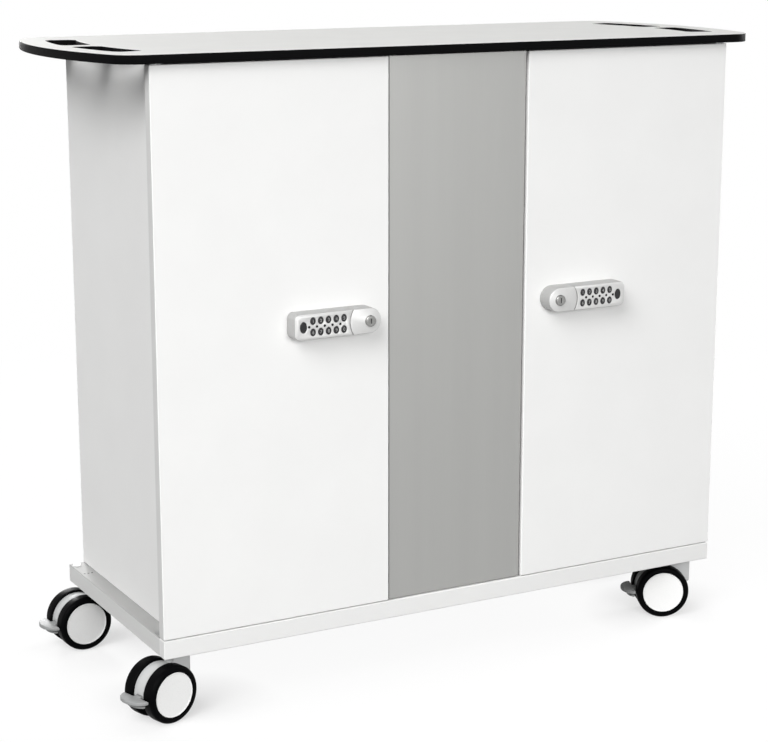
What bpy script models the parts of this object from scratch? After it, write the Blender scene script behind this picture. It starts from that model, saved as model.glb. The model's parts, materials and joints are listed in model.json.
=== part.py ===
# A mobile charging cabinet: a white board carcass on castors, two pivot-hung doors with keypad
# locks, a fixed metal fascia between them and a laminate worktop with hand slots in its ends.
# Metres, +Z up, +X to the right seen from the front, +Y towards the back.
# The origin is on the floor, under the middle of the whole object.

import math

import bmesh
import bpy
from mathutils import Matrix, Vector

# Clearances
SEAT_GAP = 0.0003  # between pieces that bear on each other
RUN_GAP = 0.0003  # round pins, spindles and keys that move
TINY = 1e-6

# Carcass
BODY_WIDTH = 0.974
BODY_DEPTH = 0.400  # door front to carcass back
BASE_HEIGHT = 0.028
BOARD = 0.018
BACK_THICKNESS = 0.008
LEDGE_WIDTH = 0.0245  # base board showing beside each side panel
CARCASS_GAP = 0.002  # door back to carcass front
EDGE_ROUNDING = 0.001

# Doors and fascia
DOOR_HEIGHT = 0.8205
DOOR_THICKNESS = 0.018
DOOR_GAP_BELOW = 0.0015
DOOR_GAP_ABOVE = 0.002
FASCIA_WIDTH = 0.232
FASCIA_GAP = 0.003
FASCIA_RECESS = 0.004
FASCIA_SHEET = 0.0015
FASCIA_LIP = 0.014

# Door pivots
FOLD_CLEARANCE = 0.0035  # folded-back door to side panel
PIVOT_PIN_RADIUS = 0.004
PIVOT_PIN_LENGTH = 0.014
PIVOT_PLATE_WIDTH = 0.020
PIVOT_PLATE_LENGTH = 0.044
PIVOT_PLATE_CORNER = 0.005

# Device racks
PARTITION_SETBACK = 0.003
CABLE_PASSAGE = 0.060  # open space before the back panel
RACK_SETBACK = 0.025
RACK_FLOOR = 0.012
BAYS_PER_RACK = 5
DIVIDER_THICKNESS = 0.003
DIVIDER_HEIGHT = 0.220
DIVIDER_CORNER = 0.060

# Power column
STRIP_LENGTH = 0.520
STRIP_WIDTH = 0.044
STRIP_DEPTH = 0.032
STRIP_END = 0.030
STRIP_CORNER = 0.004
SOCKETS_PER_STRIP = 6
SOCKET_RADIUS = 0.017
SOCKET_DEPTH = 0.012
INLET_RISE = 0.090  # base board to inlet centre
INLET_FLANGE_WIDTH = 0.050
INLET_FLANGE_HEIGHT = 0.028
INLET_FLANGE_THICKNESS = 0.003
INLET_BODY_WIDTH = 0.030
INLET_BODY_HEIGHT = 0.022
INLET_BODY_DEPTH = 0.026
INLET_WALL = 0.003
INLET_FLOOR = 0.004
INLET_CORNER = 0.003
VENT_LENGTH = 0.110
VENT_WIDTH = 0.006
VENT_PITCH = 0.016
VENTS_PER_GROUP = 7
VENT_EDGE = 0.060  # top and bottom of the back panel to the nearest vents
VENT_INLET_GAP = 0.040

# Worktop
WORKTOP_THICKNESS = 0.013
WORKTOP_FRONT_OVERHANG = 0.010
WORKTOP_BACK_OVERHANG = 0.030
WORKTOP_END_OVERHANG = 0.079  # base board to the middle of a bowed end
WORKTOP_END_RADIUS = 0.600
WORKTOP_CORNER_RADIUS = 0.040
SLOT_LENGTH = 0.135
SLOT_WIDTH = 0.045
SLOT_INSET = 0.0375
SLOT_SPACING = 0.026
SLOT_CORNER = 0.012

# Locks
LOCK_RISE = 0.4435  # door bottom to lock centre
LOCK_INSET = 0.0455  # door inner edge to knob axis
LOCK_DEPTH = 0.027
LOCK_PLATE = 0.003
LOCK_CORNER = 0.009
LOCK_FILLET = 0.0028
KNOB_WELL_RADIUS = 0.033
KNOB_CLEARANCE = 0.0004
KEY_ROWS = ("12345", "67890")  # as read from left to right
KEY_WIDTH = 0.0085
KEY_HEIGHT = 0.011
KEY_SPACING = 0.004
KEY_MARGIN = 0.005
ROW_SPACING = 0.0055
ROW_MARGIN = 0.0055
LENS_WIDTH = 0.0115
LENS_HEIGHT = 0.017
LENS_RECESS = 0.0008
LENS_SPACING = 0.0052
LENS_MARGIN = 0.008
KEY_PROUD = 0.0008
KEY_LENGTH = 0.006
KEY_TRAVEL = 0.0012
KEY_ROUNDING = 0.0006
SPINDLE_RADIUS = 0.005
SPINDLE_SEAT = 0.008
SPINDLE_TAIL = 0.002
SPINDLE_PLAY = 0.001
BARREL_RADIUS = 0.0083
BARREL_PROUD = 0.004
BARREL_ROUNDING = 0.0008
KEYWAY_WIDTH = 0.0018
KEYWAY_HEIGHT = 0.008
KEYWAY_DEPTH = 0.0015
CAM_SETBACK = 0.012
CAM_THICKNESS = 0.003
CAM_WIDTH = 0.018
CAM_ENGAGEMENT = 0.005
CAM_CLEARANCE = 0.002

# Castors
WHEEL_RADIUS = 0.0435
TYRE_WIDTH = 0.0208
TYRE_SHOULDER = 0.005
TYRE_EDGE = 0.0025
HUB_RADIUS = 0.0338
HUB_RECESS = 0.0012
HUB_GROOVE = 0.001
AXLE_RADIUS = 0.005
HOUSING_WIDTH = 0.022
WHEEL_GAP = 0.0008
HOOD_RECESS = 0.003
HOOD_END = 178  # degrees round the axle
AXLE_BOSS_RADIUS = 0.015
AXLE_BOSS_SPREAD = 55  # degrees each side of straight down
STEM_HALF_WIDTH = 0.0155
STEM_RISE = 0.014  # axle to stem foot
KING_PIN_RADIUS = 0.005
KING_PIN_LENGTH = 0.028
PLATE_THICKNESS = 0.003
PLATE_RADIUS = 0.019
WHEEL_TOP_CLEARANCE = 0.0062
CASTOR_TRAIL = 0.032
CASTOR_INSET = 0.033
PEDAL_WIDTH = 0.055
PEDAL_LENGTH = 0.020
PEDAL_THICKNESS = 0.005
PEDAL_ROUNDING = 0.00125
PEDAL_CLEARANCE = 0.002
LIP_WIDTH = 0.040
LIP_LENGTH = 0.010
LIP_THICKNESS = 0.003
LIP_DROP = 0.0095  # paddle's top to the lip's top
PEDAL_ARM_WIDTH = 0.014
PEDAL_ARM_STEP = 0.001  # arm below the paddle's top
PEDAL_PIN_RADIUS = 0.002
PEDAL_PIN_REACH = 0.028  # axle to pedal pin
PEDAL_PIN_DROP = 0.0005
PEDAL_EYE_RADIUS = 0.0036
CHEEK_DROP = 0.011  # cheeks below the pedal pin
CHEEK_FRONT = 0.0072  # cheeks beyond the pedal pin

# How each castor happens to stand, degrees from wheels trailing to the left
CASTOR_TURNS = {
    "front_left": 17.0,
    "back_left": 3.6,
    "front_right": -24.4,
    "back_right": 10.0,
}

# Facets of round forms
TYRE_FACETS = 24
PIN_FACETS = 14
KEY_FACETS = 14
ARC_STEPS = 6
PADDLE_STEPS = 10
BOW_STEPS = 12
END_STEPS = 12
SHARP_ANGLE = 40  # degrees

# Heights
BASE_BOTTOM = 2 * WHEEL_RADIUS + WHEEL_TOP_CLEARANCE + PLATE_THICKNESS + SEAT_GAP
BASE_TOP = BASE_BOTTOM + BASE_HEIGHT
DOOR_BOTTOM = BASE_TOP + DOOR_GAP_BELOW
DOOR_TOP = DOOR_BOTTOM + DOOR_HEIGHT
WORKTOP_BOTTOM = DOOR_TOP + DOOR_GAP_ABOVE
WORKTOP_TOP = WORKTOP_BOTTOM + WORKTOP_THICKNESS
PANEL_BOTTOM = BASE_TOP + SEAT_GAP
PANEL_TOP = WORKTOP_BOTTOM - SEAT_GAP
LOCK_Z = DOOR_BOTTOM + LOCK_RISE
RACK_FEET = {"lower": PANEL_BOTTOM, "upper": (PANEL_BOTTOM + PANEL_TOP) / 2}
INLET_Z = BASE_TOP + INLET_RISE

# Depths: the lock fronts and the worktop's back edge are the two ends of the whole object
WORKTOP_BACK = BODY_DEPTH + WORKTOP_BACK_OVERHANG
WORKTOP_DEPTH = WORKTOP_FRONT_OVERHANG + WORKTOP_BACK
LOCK_REACH = LOCK_DEPTH + BARREL_PROUD
DOOR_FRONT = (LOCK_REACH - WORKTOP_BACK) / 2
DOOR_BACK = DOOR_FRONT + DOOR_THICKNESS
CARCASS_FRONT = DOOR_BACK + CARCASS_GAP
CARCASS_BACK = DOOR_FRONT + BODY_DEPTH
BACK_FRONT = CARCASS_BACK - BACK_THICKNESS
BAY_FRONT = CARCASS_FRONT + RACK_SETBACK
BAY_BACK = BACK_FRONT - CABLE_PASSAGE
PIVOT_Y = DOOR_FRONT + DOOR_THICKNESS / 2
CAM_FRONT = DOOR_BACK + CAM_SETBACK

# Widths, each a distance from the middle
WORKTOP_SPAN = BODY_WIDTH + 2 * WORKTOP_END_OVERHANG
SIDE_OUTER = BODY_WIDTH / 2 - LEDGE_WIDTH
SIDE_INNER = SIDE_OUTER - BOARD
PARTITION_OUTER = FASCIA_WIDTH / 2 - PARTITION_SETBACK
PARTITION_INNER = PARTITION_OUTER - BOARD
DOOR_INNER_EDGE = FASCIA_WIDTH / 2 + FASCIA_GAP
PIVOT_INSET = LEDGE_WIDTH - DOOR_THICKNESS / 2 - FOLD_CLEARANCE
PIVOT_X = BODY_WIDTH / 2 - PIVOT_INSET
KNOB_X = DOOR_INNER_EDGE + LOCK_INSET
CAM_REACH = KNOB_X - PARTITION_OUTER + CAM_ENGAGEMENT
PIVOT_PLATE_THICKNESS = DOOR_GAP_BELOW - 2 * SEAT_GAP
SLOT_RADIUS = WORKTOP_END_RADIUS - SLOT_INSET - SLOT_WIDTH / 2

# Lock face, measured from the knob axis towards the keypad end
LOCK_HEIGHT = 2 * KEY_HEIGHT + ROW_SPACING + 2 * ROW_MARGIN
KEY_PITCH = KEY_WIDTH + KEY_SPACING
FIRST_COLUMN = KNOB_WELL_RADIUS + KEY_MARGIN + KEY_WIDTH / 2
LAST_COLUMN = FIRST_COLUMN + (len(KEY_ROWS[0]) - 1) * KEY_PITCH
LENS_COLUMN = LAST_COLUMN + KEY_WIDTH / 2 + LENS_SPACING + LENS_WIDTH / 2
LOCK_END = LENS_COLUMN + LENS_WIDTH / 2 + LENS_MARGIN
KEYPAD_DEPTH = LOCK_DEPTH - KEY_PROUD
KNOB_BACK = SEAT_GAP + LOCK_PLATE + RUN_GAP

# Castor, measured from the king pin axis with the wheels trailing towards -X
HOOD_RADIUS = WHEEL_RADIUS - HOOD_RECESS
WHEEL_INNER = HOUSING_WIDTH / 2 + WHEEL_GAP
WHEEL_OUTER = WHEEL_INNER + TYRE_WIDTH
AXLE_X = -CASTOR_TRAIL
AXLE_Z = WHEEL_RADIUS
PLATE_BOTTOM = BASE_BOTTOM - SEAT_GAP - PLATE_THICKNESS
PEDAL_PIN_X = AXLE_X - PEDAL_PIN_REACH
PEDAL_PIN_Z = AXLE_Z - PEDAL_PIN_DROP
PEDAL_INNER = AXLE_X - WHEEL_RADIUS - PEDAL_CLEARANCE

SIDES = {"left": -1, "right": 1}

# Colour, roughness and metallic value of each finish
FINISHES = {
    "white_board": ("F1F1F0", 0.45, 0.0),
    "laminate": ("E4E4E2", 0.40, 0.0),
    "laminate_core": ("17171A", 0.50, 0.0),
    "satin_metal": ("B2B2B0", 0.38, 0.9),
    "lock_casing": ("D5D5D4", 0.35, 0.6),
    "key_rubber": ("2E2E30", 0.60, 0.0),
    "steel": ("A9A9A8", 0.35, 1.0),
    "housing_grey": ("BFC0C0", 0.50, 0.0),
    "rack_grey": ("C9CACA", 0.50, 0.0),
    "pedal_grey": ("A9AAAA", 0.50, 0.0),
    "hub_white": ("ECECEC", 0.35, 0.0),
    "tyre_rubber": ("121213", 0.75, 0.0),
    "socket_black": ("1C1C1E", 0.45, 0.0),
}

# Where a flat outline's two directions and its depth go, for each plane
PLANES = {
    "XY": lambda u, v, w: Vector((u, v, w)),
    "XZ": lambda u, v, w: Vector((u, w, v)),
    "YZ": lambda u, v, w: Vector((w, u, v)),
}


def linear(channel):
    if channel <= 0.04045:
        return channel / 12.92
    return ((channel + 0.055) / 1.055) ** 2.4


def make_finish(name):
    colour, roughness, metallic = FINISHES[name]
    channels = [linear(int(colour[i : i + 2], 16) / 255) for i in (0, 2, 4)]
    finish = bpy.data.materials.new(name)
    finish.use_nodes = True
    shader = finish.node_tree.nodes["Principled BSDF"]
    shader.inputs["Base Color"].default_value = (*channels, 1)
    shader.inputs["Roughness"].default_value = roughness
    shader.inputs["Metallic"].default_value = metallic
    finish.diffuse_color = (*channels, 1)
    return finish


# Outlines, as lists of points going round anticlockwise


def arc(centre, radius, start, end, steps):
    points = []
    for i in range(steps + 1):
        angle = math.radians(start + (end - start) * i / steps)
        points.append((centre[0] + radius * math.cos(angle), centre[1] + radius * math.sin(angle)))
    return points


def rounded_rectangle(centre, width, height, radius, steps=3):
    inner_u = width / 2 - radius
    inner_v = height / 2 - radius
    points = []
    for quarter, (u, v) in enumerate(((1, 1), (-1, 1), (-1, -1), (1, -1))):
        corner = (centre[0] + u * inner_u, centre[1] + v * inner_v)
        points += arc(corner, radius, 90 * quarter, 90 * quarter + 90, steps)
    return points


def ellipse(centre, width, height, count):
    points = []
    for i in range(count):
        angle = math.tau * i / count
        points.append((centre[0] + width / 2 * math.cos(angle), centre[1] + height / 2 * math.sin(angle)))
    return points


def circle(centre, radius, count=PIN_FACETS):
    return ellipse(centre, 2 * radius, 2 * radius, count)


# Shapes added to a bmesh


def add_prism(bm, outline, plane, start, end):
    # Draws the outline at start and extrudes it to end. Gives the corners at end.
    to_space = PLANES[plane]
    corners = [bm.verts.new(to_space(u, v, start)) for u, v in outline]
    face = bm.faces.new(corners)
    grown = bmesh.ops.extrude_face_region(bm, geom=[face])["geom"]
    moved = [item for item in grown if isinstance(item, bmesh.types.BMVert)]
    bmesh.ops.translate(bm, verts=moved, vec=to_space(0, 0, end - start))
    return moved


def add_block(bm, low, high):
    low = Vector(low)
    high = Vector(high)
    size = Matrix.Diagonal((*(high - low), 1))
    bmesh.ops.create_cube(bm, size=1, matrix=Matrix.Translation((low + high) / 2) @ size)


def round_rim(bm, corners, radius, segments):
    # Rounds the closed rim that runs through these corners.
    rim = set(corners)
    edges = [edge for edge in bm.edges if edge.verts[0] in rim and edge.verts[1] in rim]
    bmesh.ops.bevel(bm, geom=edges, offset=radius, segments=segments, profile=0.5, affect="EDGES")


def add_turned(bm, profile, centre, facets):
    # Spins a closed (radius, y) profile about a line along Y, with a flat facet at the bottom.
    half_step = math.pi / facets
    down = Vector((math.sin(half_step), 0, -math.cos(half_step)))
    verts = [bm.verts.new(Vector(centre) + down * r + Vector((0, y, 0))) for r, y in profile]
    edges = [bm.edges.new((verts[i - 1], verts[i])) for i in range(len(verts))]
    bmesh.ops.spin(
        bm,
        geom=verts + edges,
        cent=centre,
        axis=(0, 1, 0),
        angle=math.tau,
        steps=facets,
        use_merge=True,
    )
    bmesh.ops.remove_doubles(bm, verts=bm.verts, dist=TINY)
    on_axis = [e for e in bm.edges if not e.link_faces]
    bmesh.ops.delete(bm, geom=on_axis, context="EDGES")


# Objects


def add_object(name, bm, finish=None, location=(0, 0, 0), parent=None):
    bmesh.ops.recalc_face_normals(bm, faces=bm.faces)
    mesh = bpy.data.meshes.new(name)
    bm.to_mesh(mesh)
    bm.free()
    return add_copy(name, mesh, finish, location, parent)


def add_copy(name, mesh, finish=None, location=(0, 0, 0), parent=None):
    obj = bpy.data.objects.new(name, mesh)
    bpy.context.scene.collection.objects.link(obj)
    if finish and not mesh.materials:
        mesh.materials.append(finish)
    obj.location = location
    obj.parent = parent
    return obj


def shade_round(mesh):
    mesh.shade_smooth()
    mesh.set_sharp_from_angle(angle=math.radians(SHARP_ANGLE))


def combine(obj, bm, operation="DIFFERENCE"):
    # Cuts or joins a tool shape, drawn in the object's own space.
    tool = add_object(f"{obj.name}_tool_{len(obj.modifiers)}", bm, parent=obj)
    tool.hide_render = True
    tool.display_type = "WIRE"
    change = obj.modifiers.new(tool.name, "BOOLEAN")
    change.operation = operation
    change.solver = "EXACT"
    change.object = tool


def round_edges(obj):
    bevel = obj.modifiers.new("edge_rounding", "BEVEL")
    bevel.width = EDGE_ROUNDING
    bevel.segments = 1
    bevel.limit_method = "ANGLE"


def bake(obj):
    # Gives the finished mesh, so that copies can share it.
    bpy.context.view_layer.update()
    graph = bpy.context.evaluated_depsgraph_get()
    mesh = bpy.data.meshes.new_from_object(obj.evaluated_get(graph))
    for child in list(obj.children):
        bpy.data.objects.remove(child)
    bpy.data.objects.remove(obj)
    shade_round(mesh)
    return mesh


def board(name, low, high, finish):
    bm = bmesh.new()
    add_block(bm, low, high)
    obj = add_object(name, bm, finish)
    round_edges(obj)
    return obj


# Carcass


def make_carcass(white):
    half = BODY_WIDTH / 2
    board("base_board", (-half, DOOR_FRONT, BASE_BOTTOM), (half, CARCASS_BACK, BASE_TOP), white)
    for side, sign in SIDES.items():
        edges = sorted((sign * SIDE_INNER, sign * SIDE_OUTER))
        low = (edges[0], CARCASS_FRONT, PANEL_BOTTOM)
        board(f"{side}_side_panel", low, (edges[1], CARCASS_BACK, PANEL_TOP), white)
        make_partition(side, sign, white)
    make_back_panel(white)


def make_back_panel(white):
    inner = SIDE_INNER - SEAT_GAP
    low = (-inner, BACK_FRONT, PANEL_BOTTOM)
    panel = board("back_panel", low, (inner, CARCASS_BACK, PANEL_TOP), white)
    tool = bmesh.new()
    group_height = (VENTS_PER_GROUP - 1) * VENT_PITCH
    lowest = INLET_Z + INLET_FLANGE_HEIGHT / 2 + VENT_INLET_GAP
    highest = PANEL_TOP - VENT_EDGE - group_height
    for group_start in (lowest, highest):
        for i in range(VENTS_PER_GROUP):
            centre = (0, group_start + i * VENT_PITCH)
            outline = rounded_rectangle(centre, VENT_LENGTH, VENT_WIDTH, VENT_WIDTH / 2, 2)
            add_prism(tool, outline, "XZ", BACK_FRONT - BACK_THICKNESS, CARCASS_BACK + BACK_THICKNESS)
    width = INLET_BODY_WIDTH + 2 * SEAT_GAP
    height = INLET_BODY_HEIGHT + 2 * SEAT_GAP
    outline = rounded_rectangle((0, INLET_Z), width, height, INLET_CORNER)
    add_prism(tool, outline, "XZ", BACK_FRONT - BACK_THICKNESS, CARCASS_BACK + BACK_THICKNESS)
    combine(panel, tool)


def make_partition(side, sign, white):
    # An upright beside the centre column, with a mortise that the lock cam turns into.
    edges = sorted((sign * PARTITION_INNER, sign * PARTITION_OUTER))
    low = (edges[0], CARCASS_FRONT, PANEL_BOTTOM)
    partition = board(f"{side}_partition", low, (edges[1], BAY_BACK, PANEL_TOP), white)
    face_distance = CAM_REACH - CAM_ENGAGEMENT
    sweep = math.sqrt(CAM_REACH**2 - face_distance**2)
    half_mortise = sweep + CAM_WIDTH / 2 + CAM_CLEARANCE
    tool = bmesh.new()
    low = (edges[0] - BOARD, CAM_FRONT - CAM_CLEARANCE, LOCK_Z - half_mortise)
    high = (edges[1] + BOARD, CAM_FRONT + CAM_THICKNESS + CAM_CLEARANCE, LOCK_Z + half_mortise)
    add_block(tool, low, high)
    combine(partition, tool)


def make_fascia(metal):
    # One folded sheet: a face, two returns and two lips that bear on the partitions.
    half = FASCIA_WIDTH / 2
    front = DOOR_FRONT + FASCIA_RECESS
    back = CARCASS_FRONT - SEAT_GAP
    inside = half - FASCIA_SHEET
    lip = half - FASCIA_LIP
    right = [
        (half, front),
        (half, back),
        (lip, back),
        (lip, back - FASCIA_SHEET),
        (inside, back - FASCIA_SHEET),
        (inside, front + FASCIA_SHEET),
    ]
    outline = right + [(-x, y) for x, y in reversed(right)]
    bm = bmesh.new()
    add_prism(bm, outline, "XY", DOOR_BOTTOM, DOOR_TOP)
    add_object("centre_fascia", bm, metal)


# Worktop


def worktop_outline():
    # Straight front and back, bowed ends, and fillets that run smoothly into both.
    half_depth = WORKTOP_DEPTH / 2
    middle_y = DOOR_FRONT - WORKTOP_FRONT_OVERHANG + half_depth
    bow_x = WORKTOP_SPAN / 2 - WORKTOP_END_RADIUS
    fillet_y = half_depth - WORKTOP_CORNER_RADIUS
    fillet_reach = math.sqrt((WORKTOP_END_RADIUS - WORKTOP_CORNER_RADIUS) ** 2 - fillet_y**2)
    tangent = math.degrees(math.atan2(fillet_y, fillet_reach))
    front_centre = (bow_x + fillet_reach, -fillet_y)
    back_centre = (bow_x + fillet_reach, fillet_y)
    right = arc(front_centre, WORKTOP_CORNER_RADIUS, -90, -tangent, ARC_STEPS)
    right += arc((bow_x, 0), WORKTOP_END_RADIUS, -tangent, tangent, BOW_STEPS)[1:-1]
    right += arc(back_centre, WORKTOP_CORNER_RADIUS, tangent, 90, ARC_STEPS)
    outline = right + [(-x, -y) for x, y in right]
    return [(x, y + middle_y) for x, y in outline], (bow_x, middle_y)


def hand_slot_outline(bow_centre, sign, middle_angle):
    # A rounded slot, bent so that it keeps the same distance from the bowed end all along.
    straight = rounded_rectangle((0, 0), SLOT_WIDTH, SLOT_LENGTH, SLOT_CORNER)
    half = len(straight) // 2
    straight = straight[:half] + [(-SLOT_WIDTH / 2, 0)] + straight[half:] + [(SLOT_WIDTH / 2, 0)]
    bent = []
    for across, along in straight:
        turn = middle_angle + along / SLOT_RADIUS
        reach = SLOT_RADIUS + across
        x = bow_centre[0] + reach * math.cos(turn)
        bent.append((sign * x, bow_centre[1] + reach * math.sin(turn)))
    return bent


def make_worktop(laminate, core):
    outline, bow_centre = worktop_outline()
    bm = bmesh.new()
    add_prism(bm, outline, "XY", WORKTOP_BOTTOM, WORKTOP_TOP)
    for face in bm.faces:
        face.normal_update()
        face.material_index = int(abs(face.normal.z) < 0.5)
    top = add_object("worktop", bm, laminate)
    top.data.materials.append(core)
    round_edges(top)
    tool = bmesh.new()
    offset = (SLOT_SPACING + SLOT_LENGTH) / 2 / SLOT_RADIUS
    for sign in SIDES.values():
        for angle in (-offset, offset):
            slot = hand_slot_outline(bow_centre, sign, angle)
            add_prism(tool, slot, "XY", WORKTOP_BOTTOM - WORKTOP_THICKNESS, WORKTOP_TOP + WORKTOP_THICKNESS)
    for face in tool.faces:
        face.material_index = 1
    combine(top, tool)


# Device racks and power


def make_rack(side, sign, tier, plastic):
    # One moulding: a floor with upright dividers, whose front top corners are rounded away.
    foot = RACK_FEET[tier]
    floor = foot + RACK_FLOOR
    top = floor + DIVIDER_HEIGHT
    inner = PARTITION_OUTER + SEAT_GAP
    outer = SIDE_INNER - SEAT_GAP
    pitch = (outer - inner) / BAYS_PER_RACK
    comb = [(outer, foot), (outer, floor)]
    for i in range(BAYS_PER_RACK - 1, 0, -1):
        far = inner + i * pitch + DIVIDER_THICKNESS / 2
        near = far - DIVIDER_THICKNESS
        comb += [(far, floor), (far, top), (near, top), (near, floor)]
    comb += [(inner, floor), (inner, foot)]
    bm = bmesh.new()
    add_prism(bm, mirrored(comb, sign), "XZ", BAY_FRONT, BAY_BACK)
    rack = add_object(f"{side}_{tier}_rack", bm, plastic)
    centre = (BAY_FRONT + DIVIDER_CORNER, top - DIVIDER_CORNER)
    waste = arc(centre, DIVIDER_CORNER, 180, 90, ARC_STEPS)
    waste += [(centre[0], top + DIVIDER_CORNER), (BAY_FRONT - DIVIDER_CORNER, top + DIVIDER_CORNER)]
    waste += [(BAY_FRONT - DIVIDER_CORNER, centre[1])]
    tool = bmesh.new()
    add_prism(tool, waste, "YZ", sign * PARTITION_INNER, sign * SIDE_OUTER)
    combine(rack, tool)


def make_socket_strip(plastic):
    # A strip of round sockets on the left partition, facing into the centre column.
    middle_y = (CARCASS_FRONT + BAY_BACK) / 2
    middle_z = (PANEL_BOTTOM + PANEL_TOP) / 2
    wall = SEAT_GAP - PARTITION_INNER
    face = wall + STRIP_DEPTH
    outline = rounded_rectangle((middle_y, middle_z), STRIP_WIDTH, STRIP_LENGTH, STRIP_CORNER)
    bm = bmesh.new()
    add_prism(bm, outline, "YZ", wall, face)
    strip = add_object("socket_strip", bm, plastic)
    tool = bmesh.new()
    first = middle_z - STRIP_LENGTH / 2 + STRIP_END
    pitch = (STRIP_LENGTH - 2 * STRIP_END) / (SOCKETS_PER_STRIP - 1)
    for i in range(SOCKETS_PER_STRIP):
        socket = circle((middle_y, first + i * pitch), SOCKET_RADIUS)
        add_prism(tool, socket, "YZ", face - SOCKET_DEPTH, face + SOCKET_DEPTH)
    combine(strip, tool)


def make_mains_inlet(plastic):
    # A flanged body through the back panel, open towards the back.
    outer = CARCASS_BACK + SEAT_GAP
    centre = (0, INLET_Z)
    flange = rounded_rectangle(centre, INLET_FLANGE_WIDTH, INLET_FLANGE_HEIGHT, INLET_CORNER)
    bm = bmesh.new()
    add_prism(bm, flange, "XZ", outer, outer + INLET_FLANGE_THICKNESS)
    inlet = add_object("mains_inlet", bm, plastic)
    body = rounded_rectangle(centre, INLET_BODY_WIDTH, INLET_BODY_HEIGHT, INLET_CORNER)
    tail = bmesh.new()
    inside = outer + INLET_FLANGE_THICKNESS - INLET_BODY_DEPTH
    add_prism(tail, body, "XZ", inside, outer + INLET_FLANGE_THICKNESS / 2)
    combine(inlet, tail, "UNION")
    width = INLET_BODY_WIDTH - 2 * INLET_WALL
    height = INLET_BODY_HEIGHT - 2 * INLET_WALL
    mouth = bmesh.new()
    outline = rounded_rectangle(centre, width, height, INLET_CORNER)
    add_prism(mouth, outline, "XZ", inside + INLET_FLOOR, outer + 2 * INLET_FLANGE_THICKNESS)
    combine(inlet, mouth)


# Doors and their pivots


def make_pivot(name, sign, seat, upwards, steel):
    # A plate on its seat and a pin that the door turns on.
    x = sign * PIVOT_X
    front = PIVOT_Y - PIVOT_PLATE_WIDTH / 2 + PIVOT_PIN_RADIUS / 2
    middle = (x, front + PIVOT_PLATE_LENGTH / 2)
    face = seat + upwards * PIVOT_PLATE_THICKNESS
    plates = bmesh.new()
    plate = rounded_rectangle(middle, PIVOT_PLATE_WIDTH, PIVOT_PLATE_LENGTH, PIVOT_PLATE_CORNER)
    add_prism(plates, plate, "XY", seat, face)
    pivot = add_object(name, plates, steel)
    pins = bmesh.new()
    pin = circle((x, PIVOT_Y), PIVOT_PIN_RADIUS)
    add_prism(pins, pin, "XY", (seat + face) / 2, face + upwards * PIVOT_PIN_LENGTH)
    combine(pivot, pins, "UNION")


def make_door(side, sign, white):
    # A board with its origin on the pivot axis, bored for both pins and for the lock spindle.
    inner = sign * (DOOR_INNER_EDGE - PIVOT_X)
    edges = sorted((sign * PIVOT_INSET, inner))
    half = DOOR_THICKNESS / 2
    bm = bmesh.new()
    add_block(bm, (edges[0], -half, DOOR_BOTTOM), (edges[1], half, DOOR_TOP))
    door = add_object(f"{side}_door", bm, white, (sign * PIVOT_X, PIVOT_Y, 0))
    round_edges(door)
    bores = bmesh.new()
    pin = circle((0, 0), PIVOT_PIN_RADIUS + RUN_GAP)
    add_prism(bores, pin, "XY", DOOR_BOTTOM - PIVOT_PIN_LENGTH, DOOR_BOTTOM + PIVOT_PIN_LENGTH + SEAT_GAP)
    add_prism(bores, pin, "XY", DOOR_TOP - PIVOT_PIN_LENGTH, DOOR_TOP + PIVOT_PIN_LENGTH)
    knob = (sign * (KNOB_X - PIVOT_X), LOCK_Z)
    add_prism(bores, circle(knob, SPINDLE_RADIUS + SPINDLE_PLAY), "XZ", -DOOR_THICKNESS, DOOR_THICKNESS)
    combine(door, bores)
    return door


# Locks, drawn from the knob axis with +u towards the keypad end and depth towards the front


def lock_outline():
    half = LOCK_HEIGHT / 2
    inner = LOCK_END - LOCK_CORNER
    points = arc((0, 0), half, 90, 270, END_STEPS)
    points += arc((inner, LOCK_CORNER - half), LOCK_CORNER, 270, 360, ARC_STEPS)
    points += arc((inner, half - LOCK_CORNER), LOCK_CORNER, 0, 90, ARC_STEPS)
    return points


def knob_outline():
    # Round at one end, and at the other an arc about the knob's own axis so that it can turn.
    half = LOCK_HEIGHT / 2
    reach = KNOB_WELL_RADIUS - KNOB_CLEARANCE
    spread = math.degrees(math.asin(half / reach))
    return arc((0, 0), half, 90, 270, END_STEPS) + arc((0, 0), reach, -spread, spread, ARC_STEPS)


def mirrored(outline, sign):
    return [(sign * u, v) for u, v in outline]


def key_layout(sign):
    # Digit and place of every key on one lock. The left lock's columns start at the right, by the knob.
    row_offset = (KEY_HEIGHT + ROW_SPACING) / 2
    keys = {}
    for row, height in zip(KEY_ROWS, (row_offset, -row_offset)):
        for column, digit in enumerate(row[::sign]):
            keys[digit] = (FIRST_COLUMN + column * KEY_PITCH, height)
    return keys


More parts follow.
